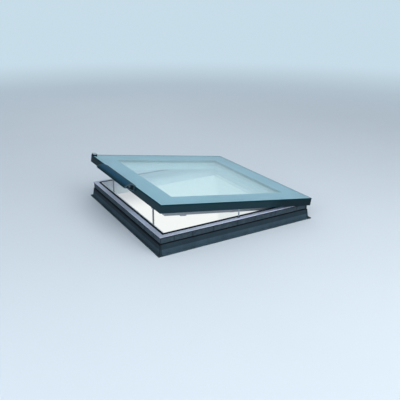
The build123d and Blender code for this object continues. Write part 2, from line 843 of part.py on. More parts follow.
for end, way in ENDS.items():
    with BuildPart() as damper_rod:
        with BuildSketch(Plane.XY.offset(piston_bottom)):
            with Locations((damper_x, way * damper_line)):
                Circle(damper_rod_radius)
        extrude(amount=damper_pin_z - damper_eye_radius / 2 - piston_bottom)
        with BuildSketch(Plane.XY.offset(piston_bottom)):
            with Locations((damper_x, way * damper_line)):
                Circle(damper_bore_radius - damper_piston_play)
        extrude(amount=damper_piston_height)
        with BuildSketch(upright_plane(Plane.XY, damper_x, way * damper_line, damper_pin_z)):
            Circle(damper_eye_radius)
        extrude(amount=damper_rod_radius, both=True)
        with BuildSketch(upright_plane(Plane.XY, damper_x, way * damper_line, damper_pin_z)):
            Circle(link_pin_radius + press_clearance)
        extrude(amount=damper_rod_radius, both=True, mode=Mode.SUBTRACT)
    finish(damper_rod, f"damper_rod_{end}")

    with BuildPart() as damper_pin:
        with BuildSketch(upright_plane(Plane.XY, damper_x, way * damper_line, damper_pin_z)):
            Circle(link_pin_radius)
        extrude(amount=damper_ear_outer + pin_head_play, both=True)
        for face in damper_pin.faces().filter_by(Axis.Y):
            with BuildSketch(Plane(face)):
                Circle(pin_head_radius)
            extrude(amount=pin_head_length)
    finish(damper_pin, f"damper_pin_{end}")

    bracket_plane = upright_plane(sash_plane, damper_slot_x, way * damper_line)
    damper_ear_bottom = damper_pin_height - link_pin_radius - slot_play - damper_ear_wall
    with BuildPart() as damper_bracket:
        with BuildSketch(bracket_plane):
            with Locations((0, (damper_ear_bottom + flange_chamber_top) / 2)):
                Rectangle(2 * damper_bracket_half, flange_chamber_top - damper_ear_bottom)
        extrude(amount=damper_ear_outer, both=True)
        with BuildSketch(bracket_plane):
            with Locations((0, (damper_ear_bottom + flange_chamber_top) / 2 - damper_plate)):
                Rectangle(3 * damper_bracket_half, flange_chamber_top - damper_ear_bottom)
        extrude(amount=damper_ear_inner, both=True, mode=Mode.SUBTRACT)
        with BuildSketch(bracket_plane):
            with Locations((0, damper_pin_height)):
                SlotCenterToCenter(2 * damper_slot_half, 2 * (link_pin_radius + slot_play))
        extrude(amount=damper_ear_outer, both=True, mode=Mode.SUBTRACT)
    finish(damper_bracket, f"damper_bracket_{end}")

# Solar module: a crowned housing on the opening side's skirt, with a panel let into its top

ridge = Vector(sash_half, pane_top + solar_ridge_height)
outer_edge = Vector(sash_half + solar_reach, ridge.Y - solar_edge_drop)
chord = outer_edge - ridge
crown_radius = chord.length**2 / (8 * solar_crown) + solar_crown / 2
crown_up = Vector(-chord.Y, chord.X).normalized()
crown_centre = (ridge + outer_edge) * 0.5 - crown_up * (crown_radius - solar_crown)
ridge_angle = atan2((ridge - crown_centre).Y, (ridge - crown_centre).X)
edge_angle = atan2((outer_edge - crown_centre).Y, (outer_edge - crown_centre).X)
crown_length = crown_radius * (ridge_angle - edge_angle)
panel_start = solar_ridge_rim / crown_length
panel_end = 1 - solar_edge_rim / crown_length


def crown_point(share, depth=0.0):
    """Point of the module's top, from the ridge at 0 to the outer edge at 1."""
    angle = ridge_angle + (edge_angle - ridge_angle) * share
    reach = crown_radius - depth
    return crown_centre + Vector(reach * cos(angle), reach * sin(angle))


def crown_arc(start, end, depth=0.0):
    return ThreePointArc(
        crown_point(start, depth), crown_point((start + end) / 2, depth), crown_point(end, depth)
    )


solar_back = [
    crown_point(0),
    (sash_half, solar_foot_rise - skirt_drop),
    (outer_edge.X - solar_heel_back, outer_edge.Y - solar_edge_depth),
    (outer_edge.X - solar_low_edge_back, outer_edge.Y - solar_edge_depth),
    crown_point(1),
]
solar_plane = section_plane(sash_plane, "left").offset(solar_offset)
solar_half = solar_length / 2 - solar_cap_thickness

with BuildPart() as solar_housing:
    with BuildSketch(solar_plane):
        with BuildLine():
            Polyline(*solar_back)
            crown_arc(1, panel_end)
            Line(crown_point(panel_end), crown_point(panel_end, solar_panel_thickness))
            crown_arc(panel_end, panel_start, solar_panel_thickness)
            Line(crown_point(panel_start, solar_panel_thickness), crown_point(panel_start))
            crown_arc(panel_start, 0)
        make_face()
    extrude(amount=solar_half, both=True)
finish(solar_housing, "solar_housing")

with BuildPart() as solar_panel:
    with BuildSketch(solar_plane):
        with BuildLine():
            crown_arc(panel_start, panel_end)
            Line(crown_point(panel_end), crown_point(panel_end, solar_panel_thickness))
            crown_arc(panel_end, panel_start, solar_panel_thickness)
            Line(crown_point(panel_start, solar_panel_thickness), crown_point(panel_start))
        make_face()
    extrude(amount=solar_half, both=True)
finish(solar_panel, "solar_panel")

for end, way in ENDS.items():
    with BuildPart() as solar_cap:
        with BuildSketch(solar_plane.offset(way * solar_half)):
            with BuildLine():
                Polyline(*solar_back)
                crown_arc(1, 0)
            make_face()
        extrude(amount=way * solar_cap_thickness)
        outer_plane = solar_plane.offset(way * solar_length / 2)
        with BuildSketch(outer_plane):
            with BuildLine():
                Polyline(*solar_back)
                crown_arc(1, 0)
            make_face()
            offset(amount=-solar_cap_rim)
        extrude(amount=-way * solar_cap_recess, mode=Mode.SUBTRACT)
        with BuildSketch(outer_plane.offset(-way * solar_cap_recess)):
            with Locations((ridge + outer_edge) * 0.5):
                Circle(solar_plug_radius)
        extrude(amount=way * solar_plug_height)
    finish(solar_cap, f"solar_cap_{end}")

# Rain sensor on the far corner of the opening side

sensor_x = -(sash_half + sensor_overhang - sensor_width / 2)
sensor_y = sash_half - sensor_end_inset - sensor_length / 2

with BuildPart() as rain_sensor:
    with BuildSketch(sash_plane.offset(pane_top)):
        with Locations((sensor_x, sensor_y)):
            RectangleRounded(sensor_width, sensor_length, sensor_corner)
    extrude(amount=sensor_height)
finish(rain_sensor, "rain_sensor")

with BuildPart() as rain_sensor_plate:
    with BuildSketch(sash_plane.offset(pane_top + sensor_height)):
        with Locations((sensor_x, sensor_y)):
            RectangleRounded(
                sensor_width - 2 * sensor_plate_margin,
                sensor_length - 2 * sensor_plate_margin,
                sensor_corner - sensor_plate_margin,
            )
    extrude(amount=sensor_plate_thickness)
finish(rain_sensor_plate, "rain_sensor_plate")
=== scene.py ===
import json
import math

import bpy
from mathutils import Matrix, Vector


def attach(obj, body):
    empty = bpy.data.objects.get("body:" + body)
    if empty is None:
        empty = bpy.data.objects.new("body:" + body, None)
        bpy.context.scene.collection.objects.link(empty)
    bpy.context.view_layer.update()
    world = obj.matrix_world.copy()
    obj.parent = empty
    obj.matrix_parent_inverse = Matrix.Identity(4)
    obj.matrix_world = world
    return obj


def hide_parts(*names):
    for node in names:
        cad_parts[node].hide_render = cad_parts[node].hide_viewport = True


# A flat-roof skylight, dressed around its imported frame. Metres, +Z up, origin under the frame's middle.

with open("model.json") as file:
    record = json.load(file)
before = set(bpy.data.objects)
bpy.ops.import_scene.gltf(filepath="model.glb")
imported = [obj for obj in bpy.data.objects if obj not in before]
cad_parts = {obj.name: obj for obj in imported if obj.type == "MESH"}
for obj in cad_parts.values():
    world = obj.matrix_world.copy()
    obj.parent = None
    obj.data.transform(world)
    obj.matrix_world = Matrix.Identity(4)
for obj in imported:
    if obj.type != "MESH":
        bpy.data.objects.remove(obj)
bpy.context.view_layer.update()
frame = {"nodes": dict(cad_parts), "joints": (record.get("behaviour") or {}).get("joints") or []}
NODES = frame["nodes"]
HINGE = next(joint for joint in frame["joints"] if joint["name"] == "sash_hinge")


# Shader maths


def pair(operation, swapped=False):
    """One two-sided operator of Signal, as a Math node."""

    def apply(self, other):
        first, second = (other, self) if swapped else (self, other)
        return self.nodes.add("Math", {"operation": operation}, {"Value": first, "Value_001": second})

    return apply


class Signal:
    """A socket's value on its way through a material, so that sums on it are plain expressions."""

    __add__ = pair("ADD")
    __mul__ = pair("MULTIPLY")
    __sub__ = pair("SUBTRACT")
    __rsub__ = pair("SUBTRACT", swapped=True)
    __pow__ = pair("POWER")
    __gt__ = pair("GREATER_THAN")
    __lt__ = pair("LESS_THAN")
    __or__ = pair("MAXIMUM")

    def __init__(self, nodes, socket):
        self.nodes = nodes
        self.socket = socket

    def __abs__(self):
        return self.nodes.add("Math", {"operation": "ABSOLUTE"}, {"Value": self})

    def within(self, half):
        """1 where the value lies within half of 0."""
        return abs(self) < half

    def out(self, name):
        """Another output of the same node."""
        return Signal(self.nodes, self.socket.node.outputs[name])


class Nodes:
    """The node tree of a material or a world, built node by node."""

    def __init__(self, owner):
        owner.use_nodes = True
        self.tree = owner.node_tree
        self.tree.nodes.clear()

    def add(self, kind, settings=None, sockets=None):
        """Adds one node: its settings first, then the values or links of its sockets."""
        made = self.tree.nodes.new("ShaderNode" + kind)
        for name, value in (settings or {}).items():
            setattr(made, name, value)
        inputs = {socket.identifier: socket for socket in made.inputs}
        for name, value in (sockets or {}).items():
            if isinstance(value, Signal):
                self.tree.links.new(value.socket, inputs[name])
            else:
                inputs[name].default_value = value
        shown = [socket for socket in made.outputs if socket.enabled]
        return Signal(self, shown[0]) if shown else None

    def mix(self, share, first, second):
        """One shader passing into another."""
        return self.add("MixShader", {}, {"Fac": share, "Shader": first, "Shader_001": second})


class Finish(Nodes):
    """One procedural material, laid out in the object's own coordinates."""

    def __init__(self, name):
        self.material = bpy.data.materials.new(name)
        super().__init__(self.material)
        self.place = self.add("TexCoord").out("Object")
        split = self.add("SeparateXYZ", {}, {"Vector": self.place})
        self.x, self.y, self.z = split, split.out("Y"), split.out("Z")

    def noise(self, scale, detail=2.0, roughness=0.5, stretch=None):
        place = self.place
        if stretch:
            place = self.add("Mapping", {}, {"Vector": place, "Scale": stretch})
        sockets = {"Vector": place, "Scale": scale, "Detail": detail, "Roughness": roughness}
        return self.add("TexNoise", {}, sockets)

    def step(self, value, low, high, start=0.0, end=1.0):
        """Runs from start to end while value runs from low to high."""
        sockets = {"Value": value, "From Min": low, "From Max": high, "To Min": start, "To Max": end}
        return self.add("MapRange", {"interpolation_type": "SMOOTHSTEP"}, sockets)

    def spread(self, noise, start=0.0, end=1.0):
        """Runs from start to end over the usual range of a noise."""
        return self.step(noise, *NOISE_RANGE, start, end)

    def blend(self, mask, first, second):
        sockets = {"Factor_Float": mask, "A_Color": first, "B_Color": second}
        return self.add("Mix", {"data_type": "RGBA"}, sockets)

    def scaled(self, colour, share):
        """A colour made darker or lighter by a share."""
        return self.add("VectorMath", {"operation": "SCALE"}, {"Vector": colour, "Scale": share})

    def bump(self, height, depth):
        return self.add("Bump", {}, {"Height": height, "Distance": depth, "Strength": 1.0})

    def surface(self, **sockets):
        """The Principled shader, with socket names in lower case and joined by underscores."""
        named = {SOCKETS[name]: value for name, value in sockets.items()}
        return self.add("BsdfPrincipled", {}, named)

    def output(self, shader):
        self.add("OutputMaterial", {}, {"Surface": shader})
        return self.material


NOISE_RANGE = (0.3, 0.7)
SOCKETS = {
    "base": "Base Color",
    "metallic": "Metallic",
    "roughness": "Roughness",
    "ior": "IOR",
    "specular": "Specular IOR Level",
    "transmission": "Transmission Weight",
    "normal": "Normal",
}


def rgb(red, green, blue):
    return (red, green, blue, 1.0)


# Materials


HINGE_X, _, HINGE_Z = HINGE["pos_m"]
OPEN_ANGLE = math.radians(-HINGE["range_deg"][0])
OPENING_HALF = 0.453
SASH_INNER_HALF = 0.398
FACE_MARGIN = 0.0005
TEAL_SHADE_ABOVE_HINGE = -0.0020
EDGE_HIGHLIGHT_HALF = 0.5087
MODULE_SHADOW_EDGE = -0.5020
GROOVE_SHADE_LOW = {"x": 0.0595, "y": 0.0525}
BAND_LOW = {"x": 0.0640, "y": 0.0620}
BAND_HIGH = 0.091
FOOT_HIGH = 0.032
FOOT_LIGHTER = (1.75, 1.85)
# Tones of the slope for each run. Those along y are darker, as painted shade on the left and right sides
SLOPE_TONES_LIT_AND_SHADED = {
    "x": ((0.019, 0.034, 0.045), (0.031, 0.052, 0.066)),
    "y": ((0.015, 0.027, 0.036), (0.025, 0.041, 0.052)),
}
KERB_CORNER = 0.4935
JOINTS_PER_METRE = 8.0
SOFT_EDGE = 0.001


def felt(along):
    """Mineral roofing felt dressed over the kerb: uneven lapped lengths on the band, painted shade in the
    grooves, and darker tones as painted shade on the sides along y.
    """
    finish = Finish("kerb_felt_" + along)
    run = finish.x if along == "x" else finish.y
    granules = finish.add("TexVoronoi", {}, {"Vector": finish.place, "Scale": 620.0})
    grit = finish.noise(1500.0, 1.0)
    patches = finish.noise(9.0, 3.0, 0.6)
    blotches = finish.noise(46.0, 3.0, 0.65)
    waves = finish.noise(30.0)
    lengths = {"W": run, "Scale": JOINTS_PER_METRE, "Randomness": 1.0}
    to_joint = finish.add(
        "TexVoronoi", {"voronoi_dimensions": "1D", "feature": "DISTANCE_TO_EDGE"}, lengths
    )
    shade = finish.add("TexVoronoi", {"voronoi_dimensions": "1D"}, lengths).out("Color")
    corner = finish.step(abs(run), KERB_CORNER, KERB_CORNER + 2 * SOFT_EDGE)
    joint = (1 - finish.step(to_joint, 0.010, 0.040)) * finish.step(blotches, 0.25, 0.5, 0.5, 1.0)
    band_low, groove_shade_low = BAND_LOW[along], GROOVE_SHADE_LOW[along]
    band = finish.step(finish.z, band_low, band_low + SOFT_EDGE)
    # Painted shade: near black in the groove under the band, taller on the sides along y, and above the band
    # under the trim
    groove_shade = (1 - band) * finish.step(finish.z, groove_shade_low - 2 * SOFT_EDGE, groove_shade_low)
    groove_shade = groove_shade + (finish.z > BAND_HIGH)
    tone = finish.step(patches, 0.35, 0.65) * 0.5 + finish.step(grit, 0.35, 0.7) * 0.5
    dull, pale = SLOPE_TONES_LIT_AND_SHADED[along]
    colour = finish.blend(tone, rgb(*dull), rgb(*pale))
    foot = 1 - finish.step(finish.z + waves * 0.002, FOOT_HIGH - SOFT_EDGE, FOOT_HIGH + SOFT_EDGE)
    foot_dull = rgb(*[FOOT_LIGHTER[0] * part for part in dull])
    foot_pale = rgb(*[FOOT_LIGHTER[1] * part for part in pale])
    colour = finish.blend(foot, colour, finish.blend(tone, foot_dull, foot_pale))
    mottle = shade * 0.35 + finish.step(blotches, 0.35, 0.65) * 0.45 + tone * 0.2
    lapped = finish.blend(mottle, rgb(0.028, 0.044, 0.056), rgb(0.062, 0.092, 0.114))
    colour = finish.blend(band, colour, lapped)
    colour = finish.blend(joint * band * 0.6, colour, rgb(0.012, 0.020, 0.027))
    colour = finish.blend(corner * 0.6, colour, rgb(0.010, 0.016, 0.021))
    colour = finish.blend(groove_shade, colour, rgb(0.004, 0.007, 0.010))
    height = granules * 0.4 + grit * 0.3 + waves * 1.5 - joint * band * 2.0
    shader = finish.surface(
        base=colour, roughness=0.9, specular=0.12, normal=finish.bump(height, 0.0006)
    )
    return finish.output(shader)


def white_profile():
    """White hollow section, satin and almost smooth. Its face to the opening carries painted shade: darkest
    at the top, and darker towards -x low down.
    """
    finish = Finish("white_profile")
    cloud = finish.noise(7.0, 3.0)
    fine = finish.noise(900.0, 2.0)
    colour = finish.blend(cloud, rgb(0.84, 0.86, 0.87), rgb(0.89, 0.91, 0.91))
    inner_half = OPENING_HALF + FACE_MARGIN
    inner = finish.x.within(inner_half) * finish.y.within(inner_half)
    # Painted shade on the face to the opening: darkest at the top, and darker towards -x low down
    shade = finish.step(finish.z, 0.020, 0.080)
    low = finish.blend(finish.step(finish.x, -0.42, 0.0), rgb(0.54, 0.60, 0.63), rgb(0.74, 0.79, 0.82))
    face = finish.blend(shade, low, rgb(0.42, 0.47, 0.54))
    colour = finish.blend(inner, colour, face)
    shader = finish.surface(
        base=colour,
        roughness=finish.spread(fine, 0.30, 0.40),
        normal=finish.bump(fine, 0.00005),
    )
    return finish.output(shader)


def in_open_sash(finish):
    """Distance from the hinge along the open sash, and height over the hinge square to it."""
    along, up = finish.x - HINGE_X, finish.z - HINGE_Z
    sine, cosine = math.sin(OPEN_ANGLE), math.cos(OPEN_ANGLE)
    return along * cosine - up * sine, along * sine + up * cosine


def sash_profile():
    """The sash's own white hollow section, painted in the greys of shade and lighter on its inner face, with
    painted teal shade on the bed of the inner pane.
    """
    finish = Finish("sash_profile")
    cloud = finish.noise(7.0, 3.0)
    fine = finish.noise(900.0, 2.0)
    # Painted shade: the white section is given greys, and its inner face a lighter shade
    colour = finish.blend(cloud, rgb(0.30, 0.325, 0.355), rgb(0.35, 0.38, 0.40))
    out, up = in_open_sash(finish)
    inner_half = SASH_INNER_HALF + FACE_MARGIN
    inner = (out + HINGE_X).within(inner_half) * finish.y.within(inner_half)
    colour = finish.blend(inner, colour, rgb(0.53, 0.64, 0.67))
    # Painted teal shade on the bed of the inner pane and the top of its inner face
    colour = finish.blend(up > TEAL_SHADE_ABOVE_HINGE, colour, rgb(0.07, 0.40, 0.44))
    shader = finish.surface(
        base=colour,
        roughness=finish.spread(fine, 0.34, 0.44),
        normal=finish.bump(fine, 0.00005),
    )
    return finish.output(shader)


TRIM_SHADE_TOP = 0.0974
LIP_OUTER = 0.4728
# Tones of the trim for each run. Those along y are darker, as painted shade on the left and right sides
TRIM_TONES_LIT_AND_SHADED = {
    "x": ((0.53, 0.58, 0.705), (0.62, 0.67, 0.795)),
    "y": ((0.475, 0.515, 0.63), (0.555, 0.60, 0.715)),
}
# Painted light and shade along the trim's run, as the four last values of a step. A second step adds to the
# first
TRIM_PAINTED_LIGHT = {
    "x": [(-0.49, 0.15, 0.74, 1.22)],
    "y": [(-0.49, -0.25, 0.78, 1.30), (-0.17, -0.03, 0.0, -0.30)],
}
RIB_WAVE = 1250.0
SOLAR_MIDDLE_Y = 0.030
SOLAR_HALF = 0.219
CELLS_END = 0.555
CELLS_FADE = 0.012
LINES_PER_METRE = 100.0
LINE_SHARE = 0.06
CAP_RECESS = 0.007
CAP_MARGIN = 0.0003


def bright_trim(along):
    """Bright trim with fine ribs across its top, painted shade on its lower edge, the seal's dark lip on its
    inner edge, and painted light and shade along its run.
    """
    finish = Finish("bright_trim_" + along)
    run, across = (finish.x, finish.y) if along == "x" else (finish.y, finish.x)
    ribs = finish.add("Math", {"operation": "SINE"}, {"Value": run * RIB_WAVE})
    stretch = (1.0, 0.05, 1.0) if along == "x" else (0.05, 1.0, 1.0)
    brushed = finish.noise(420.0, 3.0, stretch=stretch)
    broad = finish.noise(34.0, 1.0, stretch=stretch)
    tone = brushed * 0.6 + broad * 0.4
    dull, pale = TRIM_TONES_LIT_AND_SHADED[along]
    colour = finish.blend(finish.spread(tone), rgb(*dull), rgb(*pale))
    first_painted_light, *more_painted_light = (finish.step(run, *level) for level in TRIM_PAINTED_LIGHT[along])
    colour = finish.scaled(colour, sum(more_painted_light, first_painted_light))
    # Painted shade on the trim's lower edge, and the seal's own dark lip along its inner edge
    edge = (finish.z < TRIM_SHADE_TOP) | across.within(LIP_OUTER)
    colour = finish.blend(edge, colour, rgb(0.005, 0.012, 0.022))
    shader = finish.surface(
        base=colour,
        metallic=(1 - edge) * 0.2,
        specular=0.15,
        roughness=finish.spread(brushed, 0.40, 0.54) + edge * 0.4,
        normal=finish.bump(ribs + brushed * 2.0, 0.00008),
    )
    return finish.output(shader)


def seal_rubber():
    finish = Finish("seal_rubber")
    fine = finish.noise(1200.0, 2.0)
    colour = finish.blend(fine, rgb(0.006, 0.013, 0.023), rgb(0.010, 0.020, 0.033))
    shader = finish.surface(
        base=colour,
        roughness=finish.spread(fine, 0.50, 0.64),
        specular=0.1,
        normal=finish.bump(fine, 0.0001),
    )
    return finish.output(shader)


SKIRT_SHADE_FADE = (-0.34, -0.22)
SKIRT_SHADE_SHARE = 0.55


def dark_cladding():
    """Powder-coated folded sheet with a fine orange peel, and painted shade that darkens it towards its far
    and right ends.
    """
    finish = Finish("dark_cladding")
    peel = finish.noise(700.0, 2.0)
    cloud = finish.noise(5.0, 3.0)
    colour = finish.blend(cloud, rgb(0.010, 0.029, 0.038), rgb(0.015, 0.038, 0.049))
    # Painted shade: darker towards the far and right ends
    colour = finish.scaled(colour, finish.step(finish.x + finish.y, *SKIRT_SHADE_FADE, 1.0, SKIRT_SHADE_SHARE))
    shader = finish.surface(
        base=colour,
        roughness=finish.spread(peel, 0.46, 0.58),
        specular=0.07,
        normal=finish.bump(peel, 0.00012),
    )
    return finish.output(shader)


def edge_sealant():
    """Dark sealant round the edge of the outer pane, and inside it a pale band: a painted highlight where
    the glass's ground edge shines, left dark beside the module as painted shadow.
    """
    finish = Finish("edge_sealant")
    fine = finish.noise(600.0, 2.0)
    colour = finish.blend(fine, rgb(0.003, 0.024, 0.034), rgb(0.004, 0.030, 0.042))
    shut_x = in_open_sash(finish)[0] + HINGE_X
    # Painted highlight: a pale band where the glass's ground edge shines
    ground = shut_x.within(EDGE_HIGHLIGHT_HALF) * finish.y.within(EDGE_HIGHLIGHT_HALF)
    # Painted shadow: the highlight is left out beside the module
    module_shadow = (finish.y - SOLAR_MIDDLE_Y).within(SOLAR_HALF) * (shut_x < MODULE_SHADOW_EDGE)
    ground = ground * (1 - module_shadow)
    colour = finish.blend(ground, colour, rgb(0.29, 0.52, 0.60))
    return finish.output(finish.surface(base=colour, roughness=0.6, specular=0.05))


def clear_glass(name, tint, ior):
    """Clear pane with a faint tint. Lamps reach what is behind it."""
    finish = Finish(name)
    smear = finish.noise(3.0, 4.0)
    glass = finish.surface(
        base=tint,
        roughness=finish.step(smear, 0.45, 0.8, 0.0, 0.03),
        ior=ior,
        transmission=1.0,
    )
    clear = finish.add("BsdfTransparent", {}, {"Color": rgb(0.97, 0.98, 0.98)})
    lamp = finish.add("LightPath").out("Is Shadow Ray")
    return finish.output(finish.mix(lamp, glass, clear))


def glass_enamel():
    """Pale teal enamel printed behind the edge of the glass."""
    finish = Finish("glass_enamel")
    cloud = finish.noise(4.0, 2.0)
    fine = finish.noise(500.0, 1.0)
    tone = cloud * 0.8 + fine * 0.2
    colour = finish.blend(finish.step(tone, 0.35, 0.65), rgb(0.190, 0.358, 0.426), rgb(0.222, 0.400, 0.474))
    return finish.output(finish.surface(base=colour, roughness=0.6))


def spacer():
    """Dark warm-edge spacer between the panes."""
    finish = Finish("spacer")
    fine = finish.noise(600.0, 2.0)
    colour = finish.blend(fine, rgb(0.060, 0.330, 0.370), rgb(0.080, 0.380, 0.420))
    return finish.output(finish.surface(base=colour, metallic=0.2, roughness=0.45))


def solar_cells():
    """Dark blue thin cells under a clear cover, with hairlines across."""
    finish = Finish("solar_cells")
    line = finish.add("Math", {"operation": "FRACT"}, {"Value": finish.y * LINES_PER_METRE})
    cloud = finish.noise(14.0, 2.0)
    colour = finish.blend(cloud, rgb(0.005, 0.043, 0.080), rgb(0.009, 0.059, 0.106))
    colour = finish.blend((line < LINE_SHARE) * 0.4, colour, rgb(0.03, 0.08, 0.12))
    reach = -HINGE_X - in_open_sash(finish)[0]
    outer_end = finish.step(reach, CELLS_END, CELLS_END + CELLS_FADE)
    colour = finish.blend(outer_end, colour, rgb(0.008, 0.027, 0.037))
    shader = finish.surface(base=colour, roughness=0.5, specular=0.022)
    return finish.output(shader)


def moulded_plastic(name, dark, pale, specular, capped=False):
    """Moulded plastic with a fine grain. An end cap has a painted highlight on its rim and painted shade on
    the floor of its recess.
    """
    finish = Finish(name)
    grain = finish.noise(1400.0, 2.0)
    colour = finish.blend(grain, dark, pale)
    if capped:
        from_middle = abs(finish.y - SOLAR_MIDDLE_Y)
        # Painted highlight on the cap's rim, and painted shade on the floor of its recess
        rim = from_middle > SOLAR_HALF - CAP_MARGIN
        floor = (from_middle - SOLAR_HALF + CAP_RECESS).within(CAP_MARGIN)
        colour = finish.blend(rim, colour, rgb(0.075, 0.125, 0.165))
        colour = finish.blend(floor, colour, rgb(0.010, 0.018, 0.024))
    shader = finish.surface(
        base=colour,
        roughness=finish.spread(grain, 0.50, 0.64),
        specular=specular,
        normal=finish.bump(grain, 0.00015),
    )
    return finish.output(shader)


def sensor_plate():
    finish = Finish("sensor_plate")
    fine = finish.noise(800.0, 2.0)
    colour = finish.blend(fine, rgb(0.28, 0.34, 0.39), rgb(0.34, 0.40, 0.45))
    return finish.output(finish.surface(base=colour, roughness=0.45))


def cast_housing():
    finish = Finish("cast_housing")
    grain = finish.noise(500.0, 3.0)
    colour = finish.blend(grain, rgb(0.44, 0.46, 0.48), rgb(0.54, 0.56, 0.57))
    shader = finish.surface(
        base=colour,
        roughness=finish.spread(grain, 0.42, 0.58),
        normal=finish.bump(grain, 0.0002),
    )
    return finish.output(shader)


def plated_steel(name, dull, bright):
    """Zinc-plated steel, mottled between a dull and a bright tone."""
    finish = Finish(name)
    spangle = finish.noise(160.0, 3.0)
    colour = finish.blend(spangle, dull, bright)
    shader = finish.surface(
        base=colour,
        metallic=0.9,
        roughness=finish.spread(spangle, 0.30, 0.46),
    )
    return finish.output(shader)


MATERIALS = {
    "felt_x": felt("x"),
    "felt_y": felt("y"),
    "white": white_profile(),
    "sash": sash_profile(),
    "trim_x": bright_trim("x"),
    "trim_y": bright_trim("y"),
    "seal": seal_rubber(),
    "cladding": dark_cladding(),
    "sealant": edge_sealant(),
    "outer_glass": clear_glass("outer_glass", rgb(0.83, 0.970, 0.995), 1.5),
    "inner_glass": clear_glass("inner_glass", rgb(0.95, 0.99, 0.99), 1.25),
    "enamel": glass_enamel(),
    "spacer": spacer(),
    "cells": solar_cells(),
    "plate": sensor_plate(),
    "cast": cast_housing(),
    "steel": plated_steel("steel", rgb(0.34, 0.39, 0.44), rgb(0.48, 0.54, 0.60)),
    "rack_steel": plated_steel("rack_steel", rgb(0.19, 0.215, 0.25), rgb(0.29, 0.32, 0.355)),
}

PLASTICS = {
    "dark_plastic": ((0.005, 0.014, 0.020), (0.009, 0.022, 0.031), 0.01),
    "module_plastic": ((0.003, 0.020, 0.028), (0.005, 0.029, 0.040), 0.01),
    "cap_plastic": ((0.020, 0.042, 0.054), (0.030, 0.060, 0.075), 0.04),
    "plug_plastic": ((0.07, 0.105, 0.12), (0.09, 0.13, 0.145), 0.1),
    "screw_black": ((0.001, 0.002, 0.003), (0.002, 0.004, 0.005), 0.0),
    "grey_plastic": ((0.38, 0.40, 0.48), (0.44, 0.46, 0.54), 0.3),
}
for name, (dark, pale, specular) in PLASTICS.items():
    MATERIALS[name] = moulded_plastic(name, rgb(*dark), rgb(*pale), specular, capped=name == "cap_plastic")

ALONG = {"near": "x", "far": "x", "left": "y", "right": "y"}
DRESS = {
    "upstand": "white",
    "frame_seal": "seal",
    "hinge": "steel",
    "gearbox": "cast",
    "motor_housing": "cast",
    "motor_caps": "dark_plastic",
    "damper_cylinders": "steel",
    "damper_glands": "dark_plastic",
    "damper_rod": "steel",
    "damper_pin": "steel",
    "damper_bracket": "steel",
    "sash_profile": "sash",
    "skirt": "cladding",
    "outer_pane": "outer_glass",
    "inner_pane": "inner_glass",
    "enamel_border": "enamel",
    "spacer_bar": "spacer",
    "solar_housing": "module_plastic",
    "solar_cap": "cap_plastic",
    "solar_panel": "cells",
    "rain_sensor_plate": "plate",
    "rain_sensor": "dark_plastic",
    "rack": "rack_steel",
    "rack_bracket": "steel",
    "rack_pin": "steel",
    "drive_shaft": "steel",
    "pinion": "steel",
}


def finish_for(name):
    """The finish of a node: the felt and the trim run along their side, the rest go by name."""
    side = name.rsplit("_", 1)[-1]
    if name.startswith("kerb"):
        return "felt_" + ALONG[side]
    if name.startswith("top_trim"):
        return "trim_" + ALONG[side]
    matches = [start for start in DRESS if name.startswith(start)]
    return DRESS[max(matches, key=len)]


for name, node in NODES.items():
    node.data.materials.clear()
    node.data.materials.append(MATERIALS[finish_for(name)])


# Pieces that ride with the sash, modelled on the shut sash and turned open with it

FRAME_TOP = 0.100
SASH_HALF = 0.5127
PANE_UNDERSIDE = 0.0297
PANE_TOP = 0.0357
SEALANT_RIM = 0.0120
SEALANT_PROUD = 0.0004
SEALANT_LIFT = 0.0001

hinge_place = Vector(HINGE["pos_m"])
SASH_OPEN = (
    Matrix.Translation(hinge_place)
    @ Matrix.Rotation(OPEN_ANGLE, 4, "Y")
    @ Matrix.Translation(-hinge_place)
)


def select_only(piece):
    bpy.ops.object.select_all(action="DESELECT")
    piece.select_set(True)
    bpy.context.view_layer.objects.active = piece


def settle(piece, name, body, material, open_with_sash=False):
    """Names a finished piece, dresses it, puts its place into its mesh and hangs it on its body."""
    piece.name = name
    piece.data.materials.clear()
    piece.data.materials.append(MATERIALS[material])
    if open_with_sash:
        piece.matrix_world = SASH_OPEN @ piece.matrix_world
    select_only(piece)
    bpy.ops.object.transform_apply(location=True, rotation=True, scale=True)
    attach(piece, body)


def added(add_primitive, **settings):
    """The object that a primitive operator makes, with nothing else selected."""
    bpy.ops.object.select_all(action="DESELECT")
    add_primitive(**settings)
    return bpy.context.object


def apply_modifiers(piece):
    select_only(piece)
    for modifier in list(piece.modifiers):
        bpy.ops.object.modifier_apply(modifier=modifier.name)


SMOOTH_BELOW = math.radians(40)


def bevelled(piece, width, segments):
    """Rounds a piece's sharp edges and shades it smooth between them."""
    edge = piece.modifiers.new("edge", "BEVEL")
    edge.width = width
    edge.segments = segments
    edge.limit_method = "ANGLE"
    apply_modifiers(piece)
    bpy.ops.object.shade_smooth_by_angle(angle=SMOOTH_BELOW)


